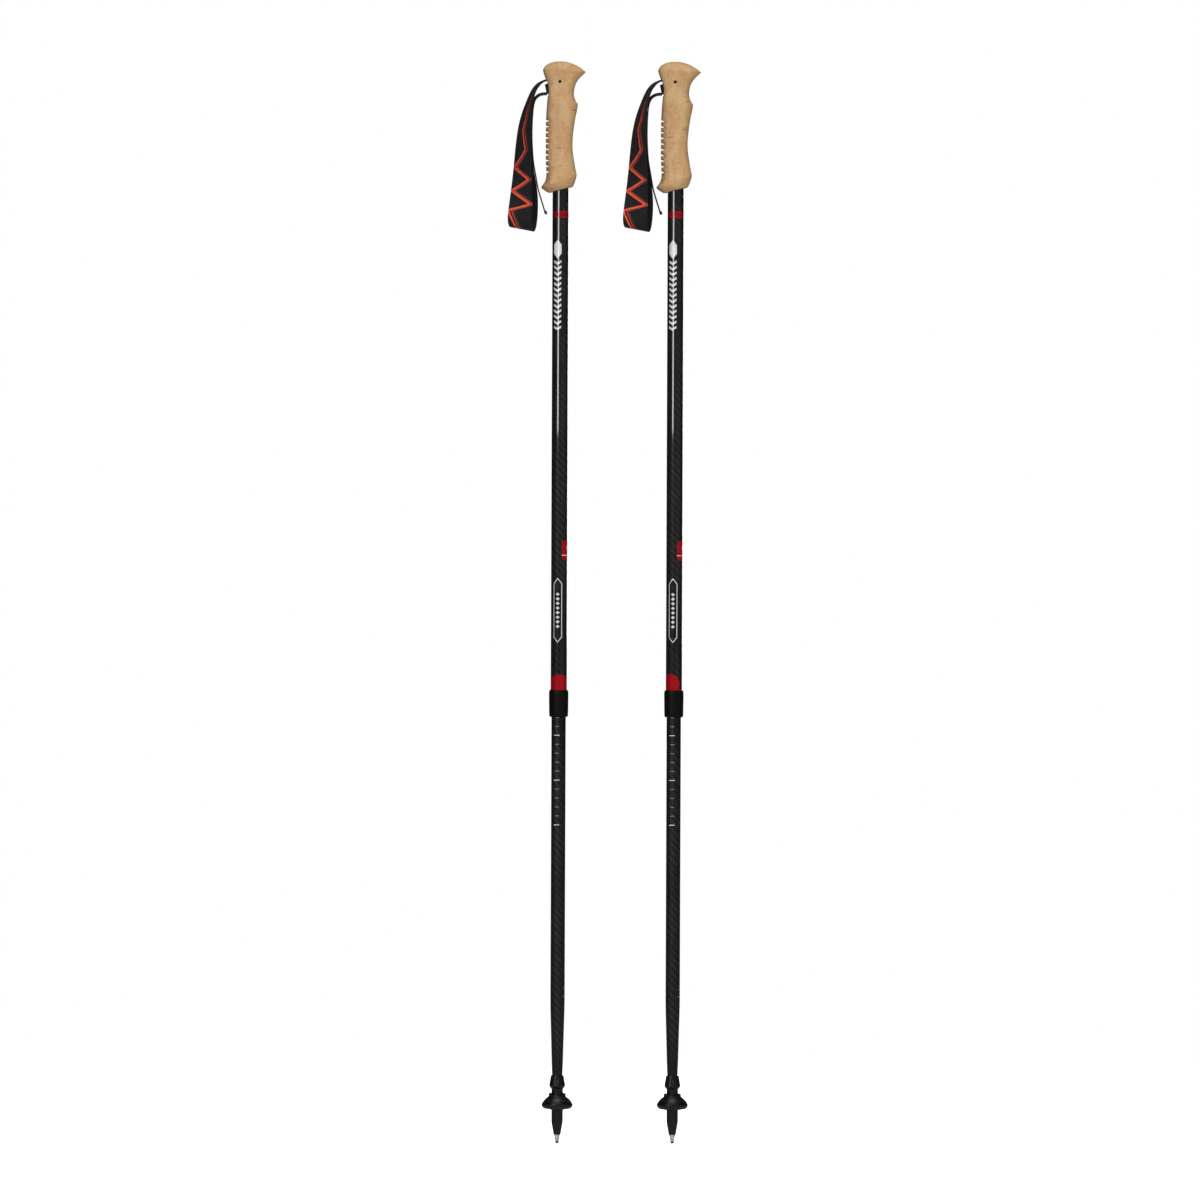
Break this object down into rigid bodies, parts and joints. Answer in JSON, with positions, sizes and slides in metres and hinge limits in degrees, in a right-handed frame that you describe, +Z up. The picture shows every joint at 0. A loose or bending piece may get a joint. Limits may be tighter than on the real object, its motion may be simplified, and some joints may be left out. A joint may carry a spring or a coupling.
{
  "type": "trekking poles",
  "caption": "Pair of two-section trekking poles: carbon shafts, beaked cork grips with wrist straps, twist-lock collars, small baskets and carbide tips.",
  "frame": {"origin": "middle of the left pole's hand-hold, on its shaft's axis", "axes": "+Z up along the shafts towards the crowns; +X from the left pole to the right one, the way the grips' beaks point; +Y away from a viewer who sees the beaks on the right"},
  "size_m": [0.2156, 0.035, 1.2099],
  "materials": {
    "cork": "cork, sanded and waxed",
    "carbon_gloss": "clear-coated carbon twill",
    "carbon_matte": "satin carbon weave",
    "black_plastic": "satin moulded plastic",
    "grey_plastic": "moulded nylon",
    "webbing": "ribbed webbing with an orange-red zigzag",
    "lining": "brushed knit lining",
    "steel": "turned steel",
    "aluminium": "turned aluminium",
    "carbide": "ground hard metal"
  },
  "bodies": {
    "left_upper": {"left_cork_grip": "cork", "left_grip_insert": "black_plastic", "left_strap_pin": "steel", "left_strap_anchor": "webbing", "left_upper_shaft": "carbon_gloss", "left_lock_collar": "black_plastic"},
    "left_lock": {"left_lock_expander": "grey_plastic"},
    "left_nut": {"left_cone_nut": "grey_plastic"},
    "left_lower": {"left_lower_shaft": "carbon_matte", "left_stud_plug": "black_plastic", "left_lock_stud": "aluminium", "left_stop_nut": "steel", "left_tip_ferrule": "black_plastic", "left_tip_holder": "steel", "left_carbide_tip": "carbide"},
    "left_basket_body": {"left_basket": "black_plastic"},
    "left_strap": {"left_strap_webbing": "webbing", "left_strap_lining": "lining"},
    "left_tail": {"left_strap_tail": "webbing"},
    "left_wedge": {"left_strap_wedge": "black_plastic"},
    "right_upper": {"right_cork_grip": "cork", "right_grip_insert": "black_plastic", "right_strap_pin": "steel", "right_strap_anchor": "webbing", "right_upper_shaft": "carbon_gloss", "right_lock_collar": "black_plastic"},
    "right_lock": {"right_lock_expander": "grey_plastic"},
    "right_nut": {"right_cone_nut": "grey_plastic"},
    "right_lower": {"right_lower_shaft": "carbon_matte", "right_stud_plug": "black_plastic", "right_lock_stud": "aluminium", "right_stop_nut": "steel", "right_tip_ferrule": "black_plastic", "right_tip_holder": "steel", "right_carbide_tip": "carbide"},
    "right_basket_body": {"right_basket": "black_plastic"},
    "right_strap": {"right_strap_webbing": "webbing", "right_strap_lining": "lining"},
    "right_tail": {"right_strap_tail": "webbing"},
    "right_wedge": {"right_strap_wedge": "black_plastic"}
  },
  "joints": [
    {"name": "left_telescope", "type": "slide", "parent": "left_upper", "child": "left_lock", "axis": [0, 0, 1], "range_m": [-0.13, 0.39]},
    {"name": "left_twist_lock", "type": "hinge", "parent": "left_lock", "child": "left_lower", "pos_m": [0, 0, -0.48], "axis": [0, 0, 1], "range_deg": [0, 540]},
    {"name": "left_nut_travel", "type": "slide", "parent": "left_lock", "child": "left_nut", "axis": [0, 0, 1], "range_m": [0, 0.00226]},
    {"name": "left_basket_off", "type": "slide", "parent": "left_lower", "child": "left_basket_body", "axis": [0, 0, -1], "range_m": [0, 0.065]},
    {"name": "left_strap_swing", "type": "hinge", "parent": "left_upper", "child": "left_strap", "pos_m": [-0.0175, 0, 0.0585], "axis": [0, 1, 0], "range_deg": [0, 70]},
    {"name": "left_tail_swing", "type": "hinge", "parent": "left_upper", "child": "left_tail", "pos_m": [-0.0155, 0, 0.0415], "axis": [0, 1, 0], "range_deg": [0, 21]},
    {"name": "left_wedge_pull", "type": "slide", "parent": "left_upper", "child": "left_wedge", "axis": [-1, 0, 0], "range_m": [0, 0.004]},
    {"name": "right_telescope", "type": "slide", "parent": "right_upper", "child": "right_lock", "axis": [0, 0, 1], "range_m": [-0.13, 0.39]},
    {"name": "right_twist_lock", "type": "hinge", "parent": "right_lock", "child": "right_lower", "pos_m": [0.1288, 0, -0.48], "axis": [0, 0, 1], "range_deg": [0, 540]},
    {"name": "right_nut_travel", "type": "slide", "parent": "right_lock", "child": "right_nut", "axis": [0, 0, 1], "range_m": [0, 0.00226]},
    {"name": "right_basket_off", "type": "slide", "parent": "right_lower", "child": "right_basket_body", "axis": [0, 0, -1], "range_m": [0, 0.065]},
    {"name": "right_strap_swing", "type": "hinge", "parent": "right_upper", "child": "right_strap", "pos_m": [0.1113, 0, 0.0585], "axis": [0, 1, 0], "range_deg": [0, 16]},
    {"name": "right_tail_swing", "type": "hinge", "parent": "right_upper", "child": "right_tail", "pos_m": [0.1133, 0, 0.0415], "axis": [0, 1, 0], "range_deg": [0, 4.8]},
    {"name": "right_wedge_pull", "type": "slide", "parent": "right_upper", "child": "right_wedge", "axis": [-1, 0, 0], "range_m": [0, 0.004]},
    {"name": "pair_gap", "type": "slide", "parent": "left_upper", "child": "right_upper", "axis": [1, 0, 0], "range_m": [0, 0.5]}
  ],
  "couplings": [
    {"joint": "left_nut_travel", "follows": "left_twist_lock", "m_per_rad": 0.00023873},
    {"joint": "left_tail_swing", "follows": "left_strap_swing", "ratio": 0.3},
    {"joint": "right_nut_travel", "follows": "right_twist_lock", "m_per_rad": 0.00023873},
    {"joint": "right_tail_swing", "follows": "right_strap_swing", "ratio": 0.3}
  ]
}
